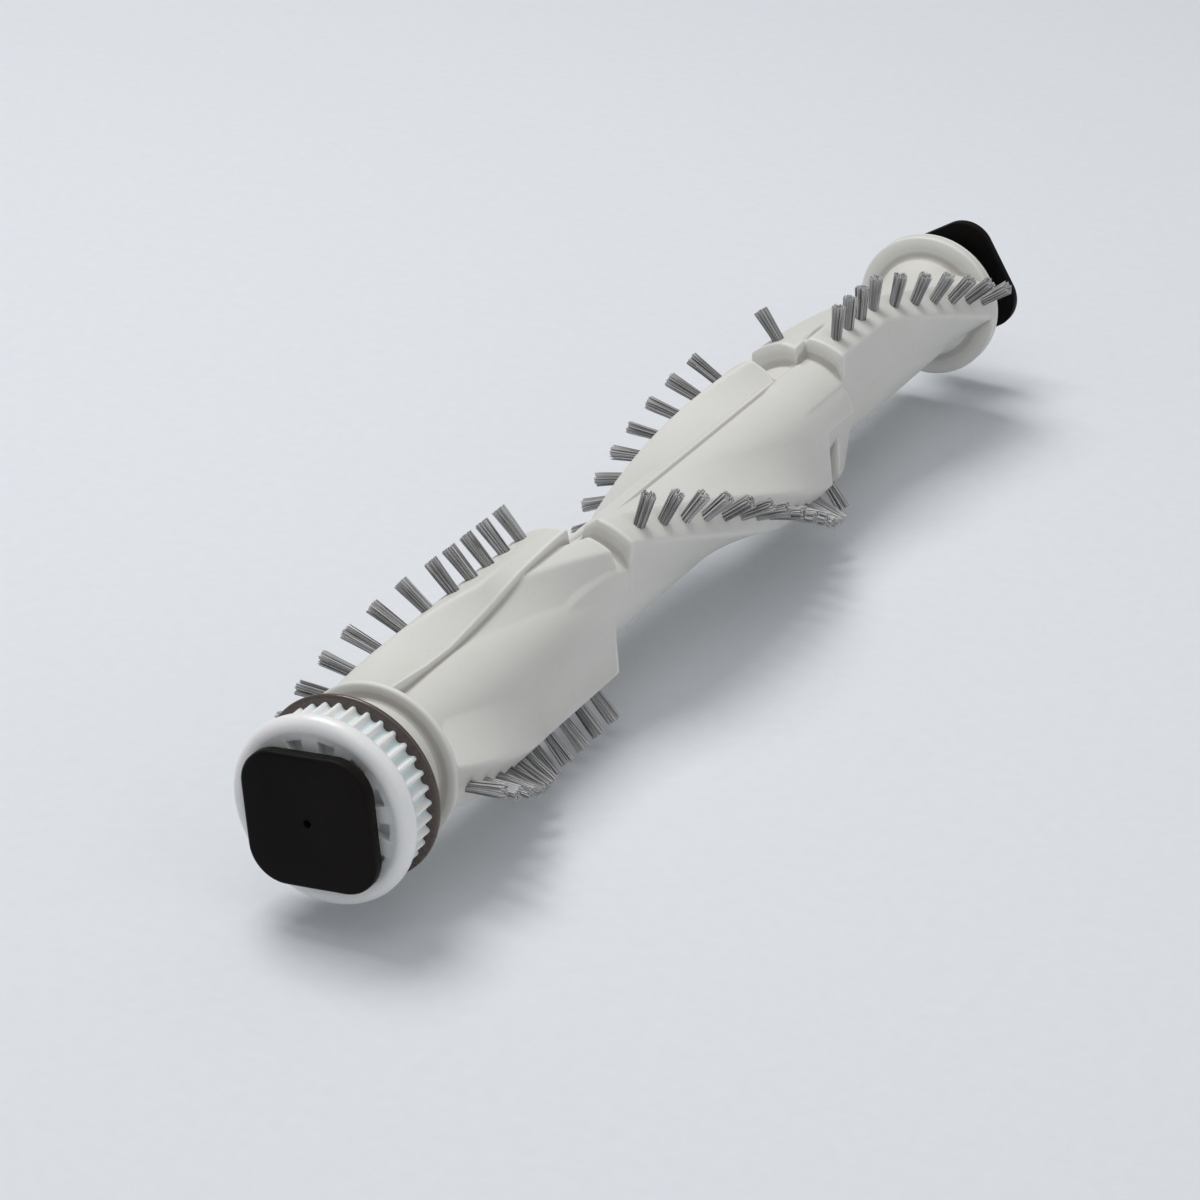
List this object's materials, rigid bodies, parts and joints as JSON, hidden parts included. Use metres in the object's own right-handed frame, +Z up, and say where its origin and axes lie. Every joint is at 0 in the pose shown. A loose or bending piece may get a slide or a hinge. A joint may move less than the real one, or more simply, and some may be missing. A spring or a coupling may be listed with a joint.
{
  "type": "vacuum brush roll",
  "caption": "Twisted moulded agitator roller with raked bristle tufts, a toothed belt pulley at one end and square end caps that turn on ball bearings.",
  "frame": {"origin": "centre of the floor under the roll, halfway between the two cap faces", "axes": "+Y along the spin axis from the drive end to the idle end, +Z up, +X to the right when looking from the drive end"},
  "size_m": [0.048, 0.2892, 0.0463],
  "materials": {
    "grey_plastic": "satin moulded plastic, light warm grey",
    "white_plastic": "slightly milky white plastic, semi gloss",
    "brown_plastic": "dark brown, glossy",
    "black_plastic": "near black, satin",
    "bristle": "grey nylon filaments",
    "washer_plastic": "plain",
    "axle_steel": "ground",
    "bearing_steel": "ground",
    "ball_steel": "polished"
  },
  "bodies": {
    "roller": {"roller_body": "grey_plastic", "axle": "axle_steel", "drive_pulley": "white_plastic", "belt_flange": "brown_plastic", "drive_row_a": "bristle", "drive_row_b": "bristle", "middle_row_a": "bristle", "middle_row_b": "bristle", "idle_row_a": "bristle", "idle_row_b": "bristle", "single_tufts": "bristle", "drive_thrust_washer": "washer_plastic", "drive_inner_ring": "bearing_steel", "drive_balls": "ball_steel", "idle_thrust_washer": "washer_plastic", "idle_inner_ring": "bearing_steel", "idle_balls": "ball_steel"},
    "drive_cap": {"drive_end_cap": "black_plastic", "drive_outer_ring": "bearing_steel", "drive_dust_washer": "axle_steel"},
    "idle_cap": {"idle_end_cap": "black_plastic", "idle_outer_ring": "bearing_steel", "idle_dust_washer": "axle_steel"}
  },
  "joints": [
    {"name": "drive_cap_spin", "type": "hinge", "parent": "roller", "child": "drive_cap", "pos_m": [0, -0.1385, 0.02335], "axis": [0, 1, 0], "continuous": true},
    {"name": "idle_cap_spin", "type": "hinge", "parent": "roller", "child": "idle_cap", "pos_m": [0, 0.1375, 0.02335], "axis": [0, 1, 0], "continuous": true}
  ]
}
